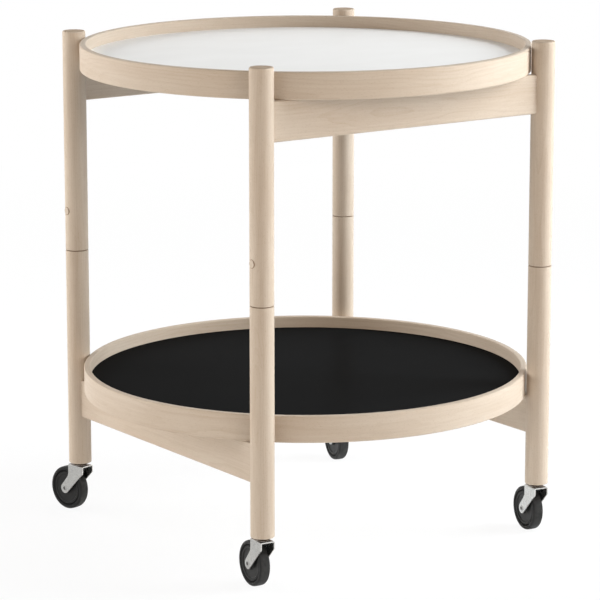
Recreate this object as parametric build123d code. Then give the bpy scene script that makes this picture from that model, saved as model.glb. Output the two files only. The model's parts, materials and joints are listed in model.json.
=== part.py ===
from build123d import *
from math import acos, atan2, cos, degrees, hypot, sin
import os

# Serving trolley: four round legs on castors, four beams and two loose round trays.
# Millimetres, +Z up, origin on the floor under the middle of the trolley. -Y is the front.

# Overall layout
TRAY_DIAMETER = 600.0
LEG_SPACING = 448.0
CASTOR_HEIGHT = 70.0
LEG_TOP = 670.0

# Legs
LEG_DIAMETER = 31.0
SEAM_HEIGHT = 370.0
SEAM_GAP = 0.9
LEG_TOP_ROUND = 2.0
LEG_SEAM_ROUND = 0.7
LEG_FOOT_ROUND = 1.3

# Beams between the legs
BEAM_HEIGHT = 52.0
BEAM_THICKNESS = 11.0
BEAM_EDGE_ROUND = 2.5
LOWER_BEAM_BOTTOM = 137.2
UPPER_BEAM_BOTTOM = 574.8
DOWEL_DIAMETER = 6.0
DOWEL_PITCH = 26.0
DOWEL_IN_LEG = 10.0
DOWEL_IN_BEAM = 20.0

# Pin, washer and plug at the seam of each leg
PIN_DIAMETER = 10.0
PIN_REACH = 70.0
PIN_CHAMFER = 0.8
PIN_GROOVE_DEPTH = 1.0
PIN_GROOVE_WIDTH = 11.5
SEAM_WASHER_DIAMETER = 27.0
PLUG_DIAMETER = 10.0
PLUG_PROUD = 0.3
PLUG_EDGE_ROUND = 0.3
PLUG_ABOVE_SEAM = 54.7

# Trays
RIM_HEIGHT = 35.0
RIM_WALL = 8.5
RIM_EDGE_ROUND = 1.6
GROOVE_DEPTH = 3.0
CORE_THICKNESS = 1.8
LAMINATE_THICKNESS = 0.6
LAMINATE_CLEARANCE = 0.2

# Castors, whose heights are measured from the bottom of the leg
WHEEL_DIAMETER = 60.0
WHEEL_WIDTH = 15.0
TRAIL = 21.5
RUNNING_CLEARANCE = 0.05

# Yoke: a folded sheet with a raised boss round the stem
SHEET = 1.5
YOKE_WIDTH = 20.4
YOKE_TOP = 3.9
YOKE_FRONT = 14.0
YOKE_REAR = 14.0
BEND_RADIUS = 1.8
ARM_FRONT_DEPTH = 14.0
ARM_FRONT_ROUND = 5.0
ARM_REAR_DEPTH = 20.0
ARM_REAR_ROUND = 13.0
ARM_END_RADIUS = 7.1
BOSS_DIAMETER = 18.0
BOSS_HOLLOW_DIAMETER = 14.0
BOSS_TOP = 2.4

# Stem, its sleeve in the leg, the clip in its groove and the washer under the sleeve
STEM_DIAMETER = 8.0
STEM_TOP = 36.0
STEM_HEAD_DIAMETER = 12.5
STEM_HEAD_HEIGHT = 1.6
SLEEVE_DIAMETER = 12.0
SLEEVE_LENGTH = 38.0
SLEEVE_FLANGE_DIAMETER = 20.0
SLEEVE_FLANGE = 1.0
CLIP_BOTTOM = 28.0
CLIP_HEIGHT = 1.2
CLIP_SPLIT = 1.0
CLIP_DIAMETER = 8.6
CLIP_GROOVE_DIAMETER = 6.6
CLIP_ROOM = 0.6
THRUST_WASHER_DIAMETER = 15.0
THRUST_GAP = 0.15

# Axle rivet with a rolled, dimpled head at each end
AXLE_DIAMETER = 5.0
AXLE_HEAD_DIAMETER = 8.0
AXLE_HEAD = 0.5
AXLE_HEAD_ROUND = 0.4
AXLE_DIMPLE_DIAMETER = 4.4
AXLE_DIMPLE_FLOOR_DIAMETER = 3.0
AXLE_DIMPLE = 1.2

# Wheel core and tyre, whose faces are measured from the middle of the wheel
HUB_DIAMETER = 14.0
HUB_CHAMFER = 0.6
HUB_CLEARANCE = 0.2
CORE_DIAMETER = 48.0
CORE_FACE = 6.6
DISH_DIAMETER = 38.0
DISH_FACE = 5.4
DISH_SLOPE = 1.5
FLANK_GROOVE = 1.5
TREAD_ROUND = 3.0
TREAD_CROWN = 0.5

# Direction from each stem to its axle at rest, in degrees from +X
TRAIL_ANGLES = {
    "front_left": 84.4,
    "front_right": 79.9,
    "rear_right": 78.0,
    "rear_left": 103.4,
}

# Worked out from the sizes above
LEG_RADIUS = LEG_DIAMETER / 2
HALF_SPACING = LEG_SPACING / 2
AXLE_DEPTH = CASTOR_HEIGHT - WHEEL_DIAMETER / 2
PLUG_HEIGHT = SEAM_HEIGHT + PLUG_ABOVE_SEAM
INSIDE_DIAMETER = TRAY_DIAMETER - 2 * RIM_WALL
LEG_PLACES = {
    "front_left": (-HALF_SPACING, -HALF_SPACING),
    "front_right": (HALF_SPACING, -HALF_SPACING),
    "rear_right": (HALF_SPACING, HALF_SPACING),
    "rear_left": (-HALF_SPACING, HALF_SPACING),
}
UPRIGHT = (Align.CENTER, Align.CENTER, Align.MIN)
# How far a cutting solid runs past what it cuts
PAST = 1.0


def rod(diameter, bottom, top):
    """Solid round bar along Z between two heights."""
    return Pos(0, 0, bottom) * Cylinder(diameter / 2, top - bottom, align=UPRIGHT)


def tube(outer, inner, bottom, top):
    """Round tube along Z between two heights."""
    return rod(outer, bottom, top) - rod(inner, bottom, top)


def rim_edges(solid, height):
    """Circular edges of a solid that lie at one height."""
    return solid.edges().filter_by(GeomType.CIRCLE).filter_by_position(Axis.Z, height, height)


# Frame: legs, pins and plugs

def beam_direction(name, upper):
    """Unit step along X or Y from a leg towards the leg at the beam's other end."""
    x, y = LEG_PLACES[name]
    return (-x / HALF_SPACING, 0) if upper else (0, -y / HALF_SPACING)


def dowel_heights(beam_bottom):
    middle = beam_bottom + BEAM_HEIGHT / 2
    return (middle - DOWEL_PITCH / 2, middle + DOWEL_PITCH / 2)


def dowel_pair(name, upper):
    """Two dowels across the joint of a leg and a beam, in the leg's own frame."""
    step_x, step_y = beam_direction(name, upper)
    turn = degrees(atan2(step_y, step_x))
    beam_bottom = UPPER_BEAM_BOTTOM if upper else LOWER_BEAM_BOTTOM
    start = LEG_RADIUS - DOWEL_IN_LEG
    length = DOWEL_IN_LEG + DOWEL_IN_BEAM
    along_x = Rot(0, 90, 0) * Cylinder(DOWEL_DIAMETER / 2, length, align=UPRIGHT)
    return [Rot(0, 0, turn) * Pos(start, 0, z) * along_x for z in dowel_heights(beam_bottom)]


def side_peg(name, end):
    """Round peg from the pin's groove out to a distance from the leg's axis, away from the middle."""
    side = LEG_PLACES[name][0] / HALF_SPACING
    start = PIN_DIAMETER / 2 - PIN_GROOVE_DEPTH
    peg = Rot(0, 90, 0) * Cylinder(PLUG_DIAMETER / 2, end - start, align=UPRIGHT)
    return Pos(0, 0, PLUG_HEIGHT) * Rot(0, 0, 0 if side > 0 else 180) * Pos(start, 0, 0) * peg


def pivot_pin():
    top = SEAM_HEIGHT + PIN_REACH
    bottom = SEAM_HEIGHT - PIN_REACH
    pin = chamfer(rod(PIN_DIAMETER, bottom, top).edges(), PIN_CHAMFER)
    low = PLUG_HEIGHT - PIN_GROOVE_WIDTH / 2
    high = PLUG_HEIGHT + PIN_GROOVE_WIDTH / 2
    groove = tube(PIN_DIAMETER + PAST, PIN_DIAMETER - 2 * PIN_GROOVE_DEPTH, low, high)
    return pin - groove


def upper_leg(name):
    bottom = SEAM_HEIGHT + SEAM_GAP / 2
    leg = rod(LEG_DIAMETER, bottom, LEG_TOP)
    leg = fillet(rim_edges(leg, LEG_TOP), LEG_TOP_ROUND)
    leg = fillet(rim_edges(leg, bottom), LEG_SEAM_ROUND)
    leg -= rod(PIN_DIAMETER, bottom, SEAM_HEIGHT + PIN_REACH)
    leg -= side_peg(name, LEG_RADIUS + PAST)
    for dowel in dowel_pair(name, upper=True):
        leg -= dowel
    return leg


def lower_leg(name):
    top = SEAM_HEIGHT - SEAM_GAP / 2
    leg = rod(LEG_DIAMETER, CASTOR_HEIGHT, top)
    leg = fillet(rim_edges(leg, top), LEG_SEAM_ROUND)
    leg = fillet(rim_edges(leg, CASTOR_HEIGHT), LEG_FOOT_ROUND)
    leg -= rod(PIN_DIAMETER, SEAM_HEIGHT - PIN_REACH, top)
    leg -= rod(SLEEVE_DIAMETER, CASTOR_HEIGHT, CASTOR_HEIGHT + SLEEVE_LENGTH)
    for dowel in dowel_pair(name, upper=False):
        leg -= dowel
    return leg


def side_plug(name):
    """The peg's flat end stands a little proud of the leg and has a rounded edge."""
    peg = side_peg(name, LEG_RADIUS + PLUG_PROUD)
    ends = peg.edges().filter_by(GeomType.CIRCLE).sort_by(Axis.X)
    outer = ends[-1] if LEG_PLACES[name][0] > 0 else ends[0]
    return fillet(outer, PLUG_EDGE_ROUND)


def seam_washer():
    half = SEAM_GAP / 2
    return tube(SEAM_WASHER_DIAMETER, PIN_DIAMETER, SEAM_HEIGHT - half, SEAM_HEIGHT + half)


def beam(first, second, upper):
    """Flat board between two legs, with its ends cut to the round of the legs."""
    bottom = UPPER_BEAM_BOTTOM if upper else LOWER_BEAM_BOTTOM
    (x1, y1), (x2, y2) = LEG_PLACES[first], LEG_PLACES[second]
    length = hypot(x2 - x1, y2 - y1)
    board = Box(length, BEAM_THICKNESS, BEAM_HEIGHT, align=UPRIGHT)
    board = fillet(board.edges().filter_by(Axis.X), BEAM_EDGE_ROUND)
    turn = degrees(atan2(y2 - y1, x2 - x1))
    board = Pos((x1 + x2) / 2, (y1 + y2) / 2, bottom) * Rot(0, 0, turn) * board
    for name in (first, second):
        place = Pos(*LEG_PLACES[name], 0)
        board -= place * rod(LEG_DIAMETER, bottom - PAST, bottom + BEAM_HEIGHT + PAST)
        for dowel in dowel_pair(name, upper):
            board -= place * dowel
    return board


# Castor, in its own frame: stem on the Z axis, bottom of the leg at z = 0, wheel trailing along -X

def castor_sleeve():
    bore = STEM_DIAMETER + 2 * RUNNING_CLEARANCE
    sleeve = rod(SLEEVE_DIAMETER, 0, SLEEVE_LENGTH)
    sleeve += rod(SLEEVE_FLANGE_DIAMETER, -SLEEVE_FLANGE, 0)
    sleeve -= rod(bore, -SLEEVE_FLANGE, SLEEVE_LENGTH)
    clip_top = CLIP_BOTTOM + CLIP_HEIGHT
    return sleeve - rod(bore + 2 * CLIP_ROOM, CLIP_BOTTOM - CLIP_ROOM, clip_top + CLIP_ROOM)


def castor_stem():
    under_plate = -(BOSS_TOP + SHEET)
    stem = rod(STEM_DIAMETER, under_plate, STEM_TOP)
    stem = chamfer(rim_edges(stem, STEM_TOP), PIN_CHAMFER)
    head = rod(STEM_HEAD_DIAMETER, under_plate - STEM_HEAD_HEIGHT, under_plate)
    head = fillet(rim_edges(head, under_plate - STEM_HEAD_HEIGHT), STEM_HEAD_HEIGHT / 2)
    groove = tube(STEM_DIAMETER + PAST, CLIP_GROOVE_DIAMETER, CLIP_BOTTOM, CLIP_BOTTOM + CLIP_HEIGHT)
    return stem + head - groove


def stem_clip():
    """Split ring in the groove near the top of the stem."""
    ring = tube(CLIP_DIAMETER, CLIP_GROOVE_DIAMETER, CLIP_BOTTOM, CLIP_BOTTOM + CLIP_HEIGHT)
    split = Pos(CLIP_DIAMETER / 2, 0, CLIP_BOTTOM) * Box(CLIP_DIAMETER, CLIP_SPLIT, 4 * CLIP_HEIGHT)
    return ring - split


def thrust_washer():
    return tube(THRUST_WASHER_DIAMETER, STEM_DIAMETER, -BOSS_TOP, -(SLEEVE_FLANGE + THRUST_GAP))


def tangent_angle(x, z, side):
    """Direction from the axle to where a line through (x, z) touches the round end of an arm."""
    dx = x + TRAIL
    dz = z + AXLE_DEPTH
    return atan2(dz, dx) + side * acos(ARM_END_RADIUS / hypot(dx, dz))


def arm_outline():
    """Side view of the yoke: upright at the top, then a slanted arm with a round end."""
    front = tangent_angle(YOKE_FRONT, -ARM_FRONT_DEPTH, -1)
    rear = tangent_angle(-YOKE_REAR, -ARM_REAR_DEPTH, 1)
    axle = Vector(-TRAIL, -AXLE_DEPTH)
    corners = [
        (-YOKE_REAR, -YOKE_TOP),
        (YOKE_FRONT, -YOKE_TOP),
        (YOKE_FRONT, -ARM_FRONT_DEPTH),
        axle + ARM_END_RADIUS * Vector(cos(front), sin(front)),
        axle + ARM_END_RADIUS * Vector(cos(rear), sin(rear)),
        (-YOKE_REAR, -ARM_REAR_DEPTH),
    ]
    face = make_face(Polyline(*corners, close=True)) + Pos(axle) * Circle(ARM_END_RADIUS)
    rear_bend = face.vertices().sort_by_distance((-YOKE_REAR, -ARM_REAR_DEPTH, 0))[0]
    face = fillet(rear_bend, ARM_REAR_ROUND)
    front_bend = face.vertices().sort_by_distance((YOKE_FRONT, -ARM_FRONT_DEPTH, 0))[0]
    return fillet(front_bend, ARM_FRONT_ROUND)


def channel(width, depth, radius, top):
    """Rounded inverted U section, extruded far enough along X to hold the whole yoke."""
    section = Pos(0, -top - depth / 2) * RectangleRounded(width, depth, radius)
    length = 3 * WHEEL_DIAMETER
    return Pos(-length / 2, 0, 0) * extrude(Plane.YZ * section, length)


def across_wheel(solid):
    """Turns a solid made along Z so that it lies along the axle, and puts it there."""
    return Pos(-TRAIL, 0, -AXLE_DEPTH) * Rot(90, 0, 0) * solid


def yoke():
    depth = CASTOR_HEIGHT
    outer = channel(YOKE_WIDTH, depth, BEND_RADIUS, YOKE_TOP)
    inner = channel(YOKE_WIDTH - 2 * SHEET, depth, BEND_RADIUS - SHEET, YOKE_TOP + SHEET)
    side = extrude(Plane.XZ * arm_outline(), YOKE_WIDTH, both=True)
    body = (outer - inner) & side
    boss = rod(BOSS_DIAMETER, -YOKE_TOP - SHEET / 2, -BOSS_TOP)
    boss = fillet(rim_edges(boss, -BOSS_TOP), SHEET / 2)
    hollow = rod(BOSS_HOLLOW_DIAMETER, -YOKE_TOP - 2 * SHEET, -BOSS_TOP - SHEET)
    stem_hole = rod(STEM_DIAMETER, -YOKE_TOP - 2 * SHEET, 0)
    axle_hole = across_wheel(rod(AXLE_DIAMETER, -YOKE_WIDTH, YOKE_WIDTH))
    return body + boss - hollow - stem_hole - axle_hole


def axle_rivet():
    half = YOKE_WIDTH / 2
    end = half + AXLE_HEAD
    head = fillet(rim_edges(rod(AXLE_HEAD_DIAMETER, half, end), end), AXLE_HEAD_ROUND)
    cone = Cone(AXLE_DIMPLE_FLOOR_DIAMETER / 2, AXLE_DIMPLE_DIAMETER / 2, AXLE_DIMPLE, align=UPRIGHT)
    head -= Pos(0, 0, end - AXLE_DIMPLE) * cone
    dimpled = rod(AXLE_DIAMETER, 0, half) - Pos(0, 0, end - AXLE_DIMPLE) * cone + head
    return across_wheel(dimpled + mirror(dimpled, Plane.XY))


def spun(points):
    """Turns half a section, given as radius and height above the middle, into a full ring."""
    mirrored = [(radius, -height) for radius, height in reversed(points)]
    section = make_face(Polyline(*points, *mirrored, close=True))
    return revolve(Plane.XZ * section, Axis.Z)


def wheel_core():
    bore = AXLE_DIAMETER / 2 + RUNNING_CLEARANCE
    hub_end = YOKE_WIDTH / 2 - SHEET - HUB_CLEARANCE
    hub = HUB_DIAMETER / 2
    dish = DISH_DIAMETER / 2
    outer = CORE_DIAMETER / 2
    return across_wheel(spun([
        (bore, hub_end),
        (hub - HUB_CHAMFER, hub_end),
        (hub, hub_end - HUB_CHAMFER),
        (hub + DISH_SLOPE, DISH_FACE),
        (dish, DISH_FACE),
        (dish + DISH_SLOPE, CORE_FACE),
        (outer - FLANK_GROOVE, CORE_FACE),
        (outer, CORE_FACE - FLANK_GROOVE),
    ]))


def tyre():
    """Ring with a slightly crowned tread and rounded shoulders."""
    inner = CORE_DIAMETER / 2
    half = WHEEL_WIDTH / 2
    flank = inner + FLANK_GROOVE
    shoulder = WHEEL_DIAMETER / 2 - TREAD_CROWN
    neck = CORE_FACE - FLANK_GROOVE
    tread = ThreePointArc((shoulder, half), (WHEEL_DIAMETER / 2, 0), (shoulder, -half))
    lower_flank = [(shoulder, -half), (flank, -half), (inner, -neck)]
    upper_flank = [(inner, neck), (flank, half), (shoulder, half)]
    section = make_face([tread, Polyline(*lower_flank, *upper_flank)])
    for height in (-half, half):
        corner = section.vertices().sort_by_distance((shoulder, height, 0))[0]
        section = fillet(corner, TREAD_ROUND)
    return across_wheel(revolve(Plane.XZ * section, Axis.Z))


# Trays

def tray_core(bottom):
    """Thin board at half the rim's height, whose edge fills the groove inside the rim."""
    low = bottom + (RIM_HEIGHT - CORE_THICKNESS) / 2
    return rod(INSIDE_DIAMETER + 2 * GROOVE_DEPTH, low, low + CORE_THICKNESS)


def tray_rim(bottom):
    """Bent ring with rounded edges and a groove inside that holds the board."""
    ring = tube(TRAY_DIAMETER, INSIDE_DIAMETER, bottom, bottom + RIM_HEIGHT)
    ring = fillet(ring.edges().filter_by(GeomType.CIRCLE), RIM_EDGE_ROUND)
    return ring - tray_core(bottom)


def tray_layers(bottom, light_up):
    """Core board and its two laminates, as a dictionary of name endings to solids."""
    diameter = INSIDE_DIAMETER - 2 * LAMINATE_CLEARANCE
    core_low = bottom + (RIM_HEIGHT - CORE_THICKNESS) / 2
    core_high = core_low + CORE_THICKNESS
    under = rod(diameter, core_low - LAMINATE_THICKNESS, core_low)
    over = rod(diameter, core_high, core_high + LAMINATE_THICKNESS)
    return {
        "core_board": tray_core(bottom),
        "light_laminate": over if light_up else under,
        "black_laminate": under if light_up else over,
    }


def collect_nodes():
    nodes = {}
    washers, plugs, dowels = [], [], []
    for name, (x, y) in LEG_PLACES.items():
        place = Pos(x, y, 0)
        nodes["upper_leg_" + name] = place * upper_leg(name)
        nodes["lower_leg_" + name] = place * lower_leg(name)
        nodes["pivot_pin_" + name] = place * pivot_pin()
        washers.append(place * seam_washer())
        plugs.append(place * side_plug(name))
        for upper in (True, False):
            dowels += [place * dowel for dowel in dowel_pair(name, upper)]
        socket = Pos(x, y, CASTOR_HEIGHT)
        nodes["castor_sleeve_" + name] = socket * castor_sleeve()
        castor = socket * Rot(0, 0, TRAIL_ANGLES[name] - 180)
        pieces = {
            "castor_stem_": castor_stem,
            "stem_clip_": stem_clip,
            "thrust_washer_": thrust_washer,
            "castor_yoke_": yoke,
            "axle_rivet_": axle_rivet,
            "wheel_core_": wheel_core,
            "tyre_": tyre,
        }
        for prefix, make in pieces.items():
            nodes[prefix + name] = castor * make()
    nodes["seam_washers"] = Compound(washers)
    nodes["side_plugs"] = Compound(plugs)
    nodes["beam_dowels"] = Compound(dowels)
    nodes["upper_beam_front"] = beam("front_left", "front_right", upper=True)
    nodes["upper_beam_rear"] = beam("rear_left", "rear_right", upper=True)
    nodes["lower_beam_left"] = beam("front_left", "rear_left", upper=False)
    nodes["lower_beam_right"] = beam("front_right", "rear_right", upper=False)
    trays = {
        "upper_tray": (UPPER_BEAM_BOTTOM + BEAM_HEIGHT, True),
        "lower_tray": (LOWER_BEAM_BOTTOM + BEAM_HEIGHT, False),
    }
    for name, (bottom, light_up) in trays.items():
        nodes[name + "_rim"] = tray_rim(bottom)
        for ending, layer in tray_layers(bottom, light_up).items():
            nodes[name + "_" + ending] = layer
    return nodes


os.makedirs("parts", exist_ok=True)
for node, shape in collect_nodes().items():
    export_step(shape, "parts/" + node + ".step")
    print(node, round(shape.volume), "mm3")
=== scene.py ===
import json
import math
import random

import bpy
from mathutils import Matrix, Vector


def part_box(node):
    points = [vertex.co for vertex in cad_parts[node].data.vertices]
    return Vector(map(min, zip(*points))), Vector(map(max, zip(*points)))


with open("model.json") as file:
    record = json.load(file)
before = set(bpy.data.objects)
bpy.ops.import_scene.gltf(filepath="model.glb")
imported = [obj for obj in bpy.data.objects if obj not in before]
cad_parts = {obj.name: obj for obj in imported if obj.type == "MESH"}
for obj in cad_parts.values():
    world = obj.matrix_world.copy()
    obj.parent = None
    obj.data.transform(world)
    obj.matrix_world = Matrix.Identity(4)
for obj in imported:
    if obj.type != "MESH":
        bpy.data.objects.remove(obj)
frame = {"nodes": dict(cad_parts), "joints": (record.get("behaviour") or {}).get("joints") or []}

bpy.context.view_layer.update()


# Legs
# Each leg is two turned beech rods that meet at a seam, with the grain running up them.
# They are rubbed with white soap, which leaves the sides pale and silky, while the cut
# ends drink in more of it and dry a browner shade.

class Wire:
    """An output of a shader node. Sums and products of wires and numbers add Math nodes."""

    def __init__(self, tree, socket=None):
        self.tree = tree
        self.socket = socket

    def node(self, kind, settings, inputs, output=0):
        """Adds a node of any kind, makes its settings, then sets or links its sockets."""
        made = self.tree.nodes.new("ShaderNode" + kind)
        for setting, value in settings.items():
            setattr(made, setting, value)
        for key, value in inputs.items():
            if isinstance(value, Wire):
                self.tree.links.new(value.socket, made.inputs[key])
            else:
                made.inputs[key].default_value = value
        return Wire(self.tree, made.outputs[output] if made.outputs else None)

    def also(self, output):
        """Another output of the node that this wire comes from."""
        return Wire(self.tree, self.socket.node.outputs[output])

    def maths(self, operation, first, second=0.0):
        return self.node("Math", {"operation": operation}, {0: first, 1: second})

    def __add__(self, other):
        return self.maths("ADD", self, other)

    def __radd__(self, other):
        return self.maths("ADD", other, self)

    def __sub__(self, other):
        return self.maths("SUBTRACT", self, other)

    def __rsub__(self, other):
        return self.maths("SUBTRACT", other, self)

    def __mul__(self, other):
        return self.maths("MULTIPLY", self, other)

    def __rmul__(self, other):
        return self.maths("MULTIPLY", other, self)

    def __truediv__(self, other):
        return self.maths("DIVIDE", self, other)

    def __pow__(self, other):
        return self.maths("POWER", self, other)

    def __abs__(self):
        return self.maths("ABSOLUTE", self)

    def fade(self, low, high):
        """Rises smoothly from 0 at low to 1 at high."""
        inputs = {"Value": self, "From Min": low, "From Max": high}
        return self.node("MapRange", {"interpolation_type": "SMOOTHSTEP"}, inputs)

    def blend(self, first, second):
        """Goes from the first colour to the second as this wire goes from 0 to 1."""
        return self.node("Mix", {"data_type": "RGBA"}, {0: self, 6: first, 7: second}, 2)

    def point(self, x, y, z):
        return self.node("CombineXYZ", {}, {0: x, 1: y, 2: z})

    def cloud(self, x, y, z, detail):
        """Soft noise from 0 to 1, of about one blot per unit."""
        inputs = {"Vector": self.point(x, y, z), "Scale": 1.0, "Detail": detail}
        return self.node("TexNoise", {}, inputs).fade(0.25, 0.75)


def blots(x, y, z, size, detail):
    """Soft noise from 0 to 1, with round blots of about this size in metres."""
    return x.cloud(x / size, y / size, z / size, detail)


def shade(red, green, blue):
    """A colour as it shows on a screen, each part from 0 to 255."""
    def linear(level):
        level = level / 255
        return level / 12.92 if level <= 0.04045 else ((level + 0.055) / 1.055) ** 2.4
    return (linear(red), linear(green), linear(blue), 1.0)


def start_material(name):
    """An empty material, and its object coordinates and normal as six wires."""
    material = bpy.data.materials.new(name)
    material.use_nodes = True
    material.node_tree.nodes.clear()
    place = Wire(material.node_tree).node("TexCoord", {}, {}, "Object")
    spots = [place.node("SeparateXYZ", {}, {0: place}, axis) for axis in "XYZ"]
    facing = place.also("Normal")
    slopes = [place.node("SeparateXYZ", {}, {0: facing}, axis) for axis in "XYZ"]
    return material, spots, slopes


def end_material(even, varied, relief, depth):
    """Closes a material: even values, values that vary, and a relief of some depth in metres."""
    normal = relief.node("Bump", {}, {"Strength": 1.0, "Distance": depth, "Height": relief})
    surface = relief.node("BsdfPrincipled", {}, {**even, **varied, "Normal": normal})
    relief.node("OutputMaterial", {}, {"Surface": surface})


BEECH = shade(200, 185, 168)
BEECH_WARM = shade(189, 171, 152)
BEECH_RING = shade(168, 144, 120)
BEECH_FLECK = shade(150, 124, 99)
BEECH_END = shade(160, 136, 112)
# dark of glue lines, also used as painted shade round the plugs
BEECH_GLUE_AND_SHADE = shade(122, 95, 70)


def beech(name, lay):
    """Soaped beech. lay turns place and normal into metres along the grain and across it from
    the middle of the tree, how far the surface is a cut end, and a mask for glue lines and painted
    shade, or None."""
    material, spots, slopes = start_material(name)
    along, across, deep, cut, glue_and_painted_shade = lay(*spots, *slopes)
    luck = random.Random(name)
    far = luck.uniform(0.0, 50.0)
    ring_width = luck.uniform(0.0021, 0.0028)

    def grain(length, width, detail):
        """Noise drawn out along the wood, in streaks of about this length and width."""
        return along.cloud(along / length, across / width + far, deep / width, detail)

    wander = 0.010
    sway_length = 0.22
    bow_length = 0.31
    bow_row = 9.0
    sway = along.cloud(along / sway_length, far, 0.0, 1.0)
    bow = along.cloud(along / bow_length, far, bow_row, 1.0)
    ripple = grain(length=0.045, width=0.006, detail=1.0)
    radius = ((across + sway * wander) ** 2 + (deep + bow * wander) ** 2) ** 0.5
    years = radius / ring_width + ripple * 0.35
    year = years.maths("FLOOR", years)
    season = years - year
    summer = 0.45
    autumn = 0.98
    winter = 0.985
    weight = years.node("TexWhiteNoise", {"noise_dimensions": "1D"}, {"W": year + far})
    darkening = season.fade(summer, autumn) * (1.0 - season.fade(winter, 1.0))
    late_wood = darkening * (weight * 0.7 + 0.3)

    streak = grain(length=0.09, width=0.0024, detail=2.0)
    drift = grain(length=0.16, width=0.03, detail=2.0)
    fibre_length = 0.011
    fibre_width = 0.00032
    fibre = along.cloud(along / fibre_length, across / fibre_width, deep / fibre_width + far, 2.0)
    fleck_length = 0.0042
    fleck_width = 0.00085
    empty_share = 0.46
    cell = along.point(along / fleck_length, across / fleck_width, deep / fleck_width)
    speck = along.node("TexVoronoi", {}, {"Vector": cell, "Scale": 1.0})
    chosen = speck.also("Color").maths("GREATER_THAN", speck.also("Color"), empty_share)
    fleck = (1.0 - speck.fade(0.10, 0.34)) * chosen

    colour = (drift * 0.6 + streak * 0.4).blend(BEECH, BEECH_WARM)
    colour = (late_wood * 0.22 + fibre * 0.12).blend(colour, BEECH_RING)
    colour = (fleck * (1.0 - cut) * 0.40).blend(colour, BEECH_FLECK)
    colour = (cut * (late_wood * 0.25 + fibre * 0.15 + 0.55)).blend(colour, BEECH_END)
    # darkens real glue lines and the painted shade round the plugs
    if glue_and_painted_shade is not None:
        colour = (glue_and_painted_shade * 0.8).blend(colour, BEECH_GLUE_AND_SHADE)
    rough = fibre * 0.10 + streak * 0.06 + cut * 0.16 + 0.46
    relief = fibre * 0.5 + late_wood * 0.3 - fleck * 0.5
    even = {"IOR": 1.45, "Specular IOR Level": 0.42}
    end_material(even, {"Base Color": colour, "Roughness": rough}, relief, depth=0.00006)
    return material


def cut_end(slope):
    """Rises to 1 where the surface faces along the grain."""
    return abs(slope).fade(0.80, 0.97)


def dress(node, material):
    for slot in frame["nodes"][node].material_slots:
        slot.material = material


CORNERS = ("front_left", "front_right", "rear_right", "rear_left")


def upright(node, pith=0.038, most_lean=0.014):
    """Grain up the leg, which was sawn some way from the middle of the tree. A dark ring of
    painted shade runs round the hole that a plug closes, on the side away from the trolley's middle."""
    low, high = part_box(node)
    middle = (low + high) / 2
    plug_low, plug_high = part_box("side_plugs")
    hole_height = (plug_low.z + plug_high.z) / 2
    painted_ring_offset = 0.0002
    painted_ring_radius = (plug_high.z - plug_low.z) / 2 + painted_ring_offset
    outward = math.copysign(1.0, middle.x)
    luck = random.Random(node)
    side = luck.uniform(0, math.tau)
    lean = luck.uniform(-most_lean, most_lean)

    def lay(x, y, z, nx, ny, nz):
        across = x - middle.x + pith * math.cos(side) + z * lean
        deep = y - middle.y + pith * math.sin(side) - z * lean
        # painted shade: a dark ring round the plug hole, standing in for the shadow at the plug's
        # edge
        off_painted_shade_ring = ((y - middle.y) ** 2 + (z - hole_height) ** 2) ** 0.5 - painted_ring_radius
        painted_shade_ring = 1.0 - abs(off_painted_shade_ring).fade(0.0003, 0.0008)
        glue_and_painted_shade = painted_shade_ring * (nx * outward).fade(0.2, 0.5)
        return z, across, deep, cut_end(nz), glue_and_painted_shade
    return lay


for corner in CORNERS:
    for half in ("upper_leg_", "lower_leg_"):
        dress(half + corner, beech(half + corner + "_beech", upright(half + corner)))


# Beams
# Four flat beech boards with rounded edges, planed on all sides. Their ends are scooped to
# the round of the legs and held by two dowels each. The grain runs from leg to leg.

def lengthways(node, pith=0.034, most_lean=0.02, most_height=0.02):
    """Grain along the longer side of a board."""
    low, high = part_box(node)
    middle = (low + high) / 2
    along_x = high.x - low.x > high.y - low.y
    luck = random.Random(node)
    lean = luck.uniform(-most_lean, most_lean)
    height = luck.uniform(-most_height, most_height)

    def lay(x, y, z, nx, ny, nz):
        along = x if along_x else y
        thick = y - middle.y if along_x else x - middle.x
        across = z - middle.z + height + along * lean
        end = nx if along_x else ny
        return along, across, thick + pith, cut_end(end), None
    return lay


for beam in ("upper_beam_front", "upper_beam_rear", "lower_beam_left", "lower_beam_right"):
    dress(beam, beech(beam + "_beech", lengthways(beam)))


# Side plugs and dowels
# Short round beech pieces. The plugs are turned buttons, glued over each pivot pin a little
# proud of the leg, with their grain turned the way the leg's runs. The dowels have it along
# them, and are left raw, glued between beams and legs.

def button(x, y, z, nx, ny, nz, across=0.02, deep=0.015):
    """Grain up the leg and across the button, with painted shade on the button's round side."""
    # the last mask is painted shade on the button's round side
    return z, y + across, x + deep, nz * 0.0, 1.0 - abs(nx).fade(0.3, 0.8)


def crossways(x, y, z, nx, ny, nz, across=0.02, deep=0.015):
    """Grain along X, as the dowels lie."""
    return x, y + across, z + deep, cut_end(nx), None


dress("side_plugs", beech("plug_beech", button))
dress("beam_dowels", beech("dowel_beech", crossways))


# Pins, sleeves and castor stems
# Turned steel pieces. A pin holds each leg together at its seam, a sleeve lines the bottom
# of the leg, and the stem turns in it on a washer, kept by a clip. Sleeve and washer are
# painted dark brown as painted shade for the gap under the leg, and the rest has a bright
# zinc skin.

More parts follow.
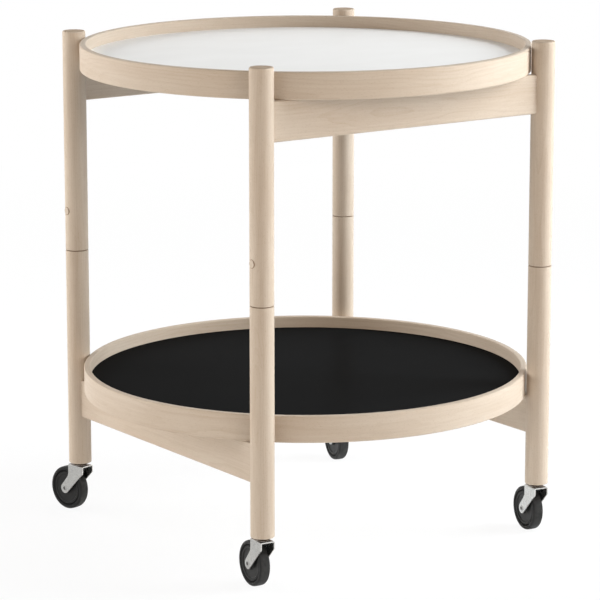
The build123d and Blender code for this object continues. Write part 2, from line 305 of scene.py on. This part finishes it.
def tumbled(x, y, z):
    """Cloudy bloom, fine grit and short scuffs of small steel pieces, each from 0 to 1."""
    bloom = blots(x, y, z, size=0.006, detail=3.0)
    grit = blots(x, y, z, size=0.0004, detail=2.0)
    scuff_width = 0.0007
    scuff_length = 0.0055
    scuff_height = 0.0006
    scuff = x.cloud(x / scuff_width, y / scuff_length, z / scuff_height, 1.0)
    return bloom, grit, scuff.fade(0.62, 0.80)


def end_steel(colour, bloom, grit, scuff, smooth):
    rough = bloom * 0.08 + scuff * 0.10 + grit * 0.04 + smooth
    varied = {"Base Color": colour, "Roughness": rough}
    end_material({"Metallic": 1.0}, varied, grit * 0.5 + scuff, depth=0.000003)


def turned_steel(name, tone, tone_worn, smooth):
    material, spots, _ = start_material(name)
    bloom, grit, scuff = tumbled(*spots)
    end_steel((bloom * 0.6 + scuff * 0.3).blend(tone, tone_worn), bloom, grit, scuff, smooth)
    return material


pin_steel = turned_steel("pin_steel", shade(186, 187, 189), shade(160, 160, 162), smooth=0.24)
# painted shade: sleeve and washer coloured dark brown to stand for the shade in the gap under the
# leg
dark_steel = turned_steel("dark_steel", shade(74, 60, 48), shade(54, 44, 36), smooth=0.30)
for corner in CORNERS:
    for piece in ("pivot_pin_", "castor_stem_", "stem_clip_"):
        dress(piece + corner, pin_steel)
    for piece in ("castor_sleeve_", "thrust_washer_"):
        dress(piece + corner, dark_steel)


# Seam washers
# Thin discs of pressed brown fibre between the two halves of each leg, a little smaller than
# the leg, so that the seam reads as a fine brown line.

def fibre_sheet(name, tone, tone_worn):
    material, (x, y, z), _ = start_material(name)
    felt_width = 0.0006
    felt_height = 0.0002
    felt = x.cloud(x / felt_width, y / felt_width, z / felt_height, 3.0)
    colour = felt.blend(tone, tone_worn)
    varied = {"Base Color": colour, "Roughness": felt * 0.15 + 0.7}
    end_material({}, varied, felt, depth=0.00003)
    return material


dress("seam_washers", fibre_sheet("seam_fibre", shade(100, 79, 62), shade(126, 101, 80)))


# Castor yokes and axle rivets
# Each yoke is stamped from steel sheet and folded over the wheel, with a boss raised round
# the stem. The cut edges and bends carry a painted highlight, and the top and boss carry
# painted shade with a painted brown reflection of the leg's end. A steel rivet goes through
# both arms, with dimpled heads.

def spin_of(corner):
    return next(j for j in frame["joints"] if j["name"] == "wheel_spin_" + corner)


def axle_distance(spots, corner):
    """How far a place is from the wheel's axle."""
    spin = spin_of(corner)
    steps = [spot - at for spot, at in zip(spots, spin["pos_m"])]
    parts = [step * part for step, part in zip(steps, spin["axis"])]
    offset = parts[0] + parts[1] + parts[2]
    square = steps[0] ** 2 + steps[1] ** 2 + steps[2] ** 2
    return (square - offset * offset) ** 0.5


def yoke_zinc(corner):
    material, spots, slopes = start_material("yoke_zinc_" + corner)
    bloom, grit, scuff = tumbled(*spots)
    axle = spin_of(corner)["axis"]
    sideways = slopes[0] * axle[0] + slopes[1] * axle[1]
    arm = abs(sideways).fade(0.55, 0.95)
    boss_height = 0.0015
    plate_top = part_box("castor_yoke_" + corner)[1].z - boss_height
    boss = spots[2].fade(plate_top + 0.0002, plate_top + 0.0005)
    flat = spots[2].fade(plate_top - 0.0004, plate_top) * slopes[2].fade(0.60, 0.95)
    painted_shade_top = boss.maths("MAXIMUM", boss, flat)
    painted_highlight_edge = (1.0 - arm) * (1.0 - painted_shade_top)
    colour = (bloom * 0.6 + scuff * 0.3).blend(shade(196, 196, 194), shade(182, 182, 180))
    # painted highlight: cut edges and bends lightened
    colour = (painted_highlight_edge * 0.9).blend(colour, shade(224, 221, 216))
    # painted shade and painted reflection of the leg's end: top and boss darkened brown
    colour = (painted_shade_top * 0.92).blend(colour, shade(96, 76, 58))
    end_steel(colour, bloom, grit, scuff, 0.20 - painted_shade_top * 0.10)
    return material


def rivet_zinc(corner):
    """A ring of painted shade lies at the dimple's edge."""
    material, spots, _ = start_material("rivet_zinc_" + corner)
    bloom, grit, scuff = tumbled(*spots)
    ring_radius = 0.0018
    off_ring = axle_distance(spots, corner) - ring_radius
    painted_dimple_shade = 1.0 - abs(off_ring).fade(0.0003, 0.0009)
    colour = (bloom * 0.6 + scuff * 0.3).blend(shade(190, 190, 188), shade(172, 172, 170))
    # painted shade in the dimple
    colour = (painted_dimple_shade * 0.8).blend(colour, shade(76, 73, 68))
    end_steel(colour, bloom, grit, scuff, painted_dimple_shade * 0.2 + 0.22)
    return material


for corner in CORNERS:
    dress("castor_yoke_" + corner, yoke_zinc(corner))
    dress("axle_rivet_" + corner, rivet_zinc(corner))


# Wheels
# A core of black moulded plastic, with a sunk ring on each face, carries a tyre of harder
# black rubber. The tread is dusted and worn dull by the floor, the flanks stay darker.

def moulded_core(corner):
    material, spots, _ = start_material("wheel_core_plastic_" + corner)
    radius = axle_distance(spots, corner)
    grain = blots(*spots, size=0.0005, detail=2.0)
    smear = blots(*spots, size=0.012, detail=3.0)
    swirl_width = 0.0006
    swirl = radius.cloud(radius / swirl_width, 0.0, 3.0, 1.0)
    colour = (smear * 0.5 + swirl * 0.2).blend(shade(22, 22, 22), shade(36, 36, 35))
    rough = grain * 0.06 + smear * 0.12 + swirl * 0.05 + 0.34
    varied = {"Base Color": colour, "Roughness": rough}
    even = {"IOR": 1.5, "Specular IOR Level": 0.27}
    end_material(even, varied, grain * 0.5 + swirl * 0.5, depth=0.00002)
    return material


def tyre_rubber(corner):
    material, spots, _ = start_material("tyre_rubber_" + corner)
    grain = blots(*spots, size=0.0007, detail=3.0)
    patch = blots(*spots, size=0.007, detail=3.0)
    tread = axle_distance(spots, corner).fade(0.0289, 0.0298)
    dust = tread * (patch * 0.30 + 0.08)
    colour = (grain * 0.3 + patch * 0.3).blend(shade(20, 20, 20), shade(30, 30, 30))
    colour = dust.blend(colour, shade(74, 72, 70))
    rough = grain * 0.08 + dust * 0.25 + 0.44
    even = {"IOR": 1.5, "Specular IOR Level": 0.30}
    end_material(even, {"Base Color": colour, "Roughness": rough}, grain, depth=0.00003)
    return material


for corner in CORNERS:
    dress("wheel_core_" + corner, moulded_core(corner))
    dress("tyre_" + corner, tyre_rubber(corner))


# Tray rims
# Each rim is one beech strip, steamed and bent into a ring. Its ends overlap in a long glued
# scarf, which lies behind the front left leg. The grain runs round the ring.

def bent(node, pith=0.030, most_height=0.012):
    low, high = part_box(node)
    middle = (low + high) / 2
    reach = high.x - middle.x
    round_once = math.tau * reach
    wall = 0.0085
    scarf_length = 0.045
    scarf_turn = scarf_length / math.tau / reach
    joint_turn = -0.375
    luck = random.Random(node)
    height = luck.uniform(-most_height, most_height)

    def lay(x, y, z, nx, ny, nz):
        radius = (x * x + y * y) ** 0.5
        turn = y.maths("ARCTAN2", y, x) / math.tau
        slant = (reach - radius) / wall * scarf_turn
        share = turn - joint_turn - slant
        along = share.maths("FRACT", share) * round_once
        seam = along.maths("MINIMUM", along, round_once - along)
        across = z - middle.z + height
        glue_and_painted_shade = 1.0 - seam.fade(0.0001, 0.0005)
        return along, across, radius - reach + pith, nz * 0.0, glue_and_painted_shade
    return lay


for tray in ("upper_tray", "lower_tray"):
    dress(tray + "_rim", beech(tray + "_rim_beech", bent(tray + "_rim")))


# Tray boards
# A thin board sits in the rim's groove. Its two faces are covered with hard laminate, light
# on one and black on the other, so that each tray can be turned over. The laminate has a
# very fine pebble, satin on the light face and dead matt on the black one, and shows slight
# smears where it was wiped.

def laminate(name, tone, tone_worn, gloss):
    material, (x, y, z), _ = start_material(name)
    pebble_size = 0.0006
    smear_length = 0.09
    smear_width = 0.05
    smear_row = 4.0
    pebble = x.cloud(x / pebble_size, y / pebble_size, 0.0, 2.0)
    smear = x.cloud(x / smear_length, y / smear_width, smear_row, 3.0)
    hair = x.cloud(x / 0.05 + y / 0.0011, y / 0.06 - x / 0.0013, 7.0, 1.0).fade(0.80, 0.96)
    colour = (smear * 0.5 + hair * 0.3).blend(tone, tone_worn)
    rough = smear * 0.07 + pebble * 0.03 + hair * 0.08 + 0.30
    even = {"IOR": 1.5, "Specular IOR Level": gloss}
    end_material(even, {"Base Color": colour, "Roughness": rough}, pebble, depth=0.000012)
    return material


light_laminate = laminate("light_laminate", shade(250, 247, 243), shade(245, 242, 238), gloss=0.10)
black_laminate = laminate("black_laminate", shade(24, 24, 24), shade(31, 31, 31), gloss=0.0006)
board_fibre = fibre_sheet("core_board_fibre", shade(120, 92, 66), shade(146, 116, 86))
for tray in ("upper_tray", "lower_tray"):
    dress(tray + "_light_laminate", light_laminate)
    dress(tray + "_black_laminate", black_laminate)
    dress(tray + "_core_board", board_fibre)


# Floor and room
# A plain white studio: one wide matt floor that keeps the trolley's shadow, and soft white
# all round, which the camera, the steel and the laminate see as plain white.

WHITE = (1.0, 1.0, 1.0, 1.0)
floor_mesh = bpy.data.meshes.new("studio_floor")
floor_reach = 40.0
floor_corners = [
    (-floor_reach, -floor_reach, 0.0),
    (floor_reach, -floor_reach, 0.0),
    (floor_reach, floor_reach, 0.0),
    (-floor_reach, floor_reach, 0.0),
]
floor_mesh.from_pydata(floor_corners, [], [(0, 1, 2, 3)])
floor = bpy.data.objects.new("studio_floor", floor_mesh)
bpy.context.scene.collection.objects.link(floor)

floor_paint, (x, y, z), _ = start_material("studio_floor_paint")
seen = x.node("LightPath", {}, {}, "Is Camera Ray")
away = ((x * x + y * y) ** 0.5).fade(0.6, 3.0)
matt = seen.node("BsdfDiffuse", {}, {"Color": shade(248, 248, 248)})
plain = seen.node("Emission", {}, {"Color": WHITE, "Strength": 1.0})
plain_near = 0.90
plain_mirrored = 0.35
white_share = seen * (away * (1.0 - plain_near) + plain_near)
white_share = white_share + seen.also("Is Glossy Ray") * plain_mirrored
both = seen.node("MixShader", {}, {0: white_share, 1: matt, 2: plain})
seen.node("OutputMaterial", {}, {"Surface": both})
floor_mesh.materials.append(floor_paint)

world = bpy.data.worlds.new("studio_room")
bpy.context.scene.world = world
world.use_nodes = True
world.node_tree.nodes.clear()
ray = Wire(world.node_tree).node("LightPath", {}, {}, "Is Camera Ray")
mirrored = ray.maths("MAXIMUM", ray.also("Is Glossy Ray"), ray.also("Is Transmission Ray"))
white_seen = ray.maths("MAXIMUM", ray, mirrored)
fill = ray.node("Background", {}, {"Color": WHITE, "Strength": 0.035})
white = ray.node("Background", {}, {"Color": WHITE, "Strength": 1.0})
room = ray.node("MixShader", {}, {0: white_seen, 1: fill, 2: white})
ray.node("OutputWorld", {}, {"Surface": room})


# Lamps
# Soft boxes as in a product studio: a tall bright one on the right, a wide one behind on the
# left, and three weak ones that lift the near side, the front and the tray tops.

def soft_box(name, direction, height_angle, width, height, power, tint):
    """A wide lamp that looks at the middle of the trolley. Direction is from +X, in degrees."""
    lamp = bpy.data.lights.new(name, "AREA")
    lamp.shape = "RECTANGLE"
    lamp.size = width
    lamp.size_y = height
    lamp.energy = power
    lamp.color = tint
    holder = bpy.data.objects.new(name, lamp)
    bpy.context.scene.collection.objects.link(holder)
    holder.visible_glossy = False
    turn = math.radians(direction)
    rise = math.radians(height_angle)
    back = Vector((math.cos(turn) * math.cos(rise), math.sin(turn) * math.cos(rise), math.sin(rise)))
    trolley_middle = Vector((0.0, 0.0, 0.35))
    distance = 3.0
    holder.location = trolley_middle + back * distance
    holder.rotation_mode = "QUATERNION"
    holder.rotation_quaternion = back.to_track_quat("Z", "Y")


soft_box("key_lamp", direction=-32.0, height_angle=23.0,
         width=1.6, height=2.5, power=158.0, tint=(0.865, 0.94, 1.0))
soft_box("left_lamp", direction=128.0, height_angle=17.0,
         width=2.6, height=1.5, power=86.0, tint=(0.98, 0.99, 1.0))
soft_box("side_lamp", direction=-172.0, height_angle=5.0,
         width=2.0, height=0.8, power=27.5, tint=(1.0, 0.95, 0.88))
soft_box("front_lamp", direction=-95.0, height_angle=17.0,
         width=1.4, height=1.4, power=25.0, tint=(1.0, 0.86, 0.73))
soft_box("back_lamp", direction=55.0, height_angle=36.0,
         width=1.2, height=1.4, power=17.0, tint=(1.0, 0.95, 0.91))


# Camera
# It stands in front and to the left, four metres off and half a metre above the upper tray,
# and looks slightly down through a long lens.

camera_lens = bpy.data.cameras.new("camera")
camera_lens.lens = 183.46
camera_lens.sensor_width = 36.0
camera_lens.clip_end = 200.0
camera = bpy.data.objects.new("camera", camera_lens)
bpy.context.scene.collection.objects.link(camera)
camera.location = (-2.3279, -3.3101, 1.1721)
camera.rotation_mode = "QUATERNION"
camera_turn = math.radians(-35.013)
camera_pitch = math.radians(12.017)
looking_back = Vector((
    math.sin(camera_turn) * math.cos(camera_pitch),
    -math.cos(camera_turn) * math.cos(camera_pitch),
    math.sin(camera_pitch),
))
camera.rotation_quaternion = looking_back.to_track_quat("Z", "Y")
bpy.context.scene.camera = camera
bpy.context.scene.view_settings.view_transform = "Standard"
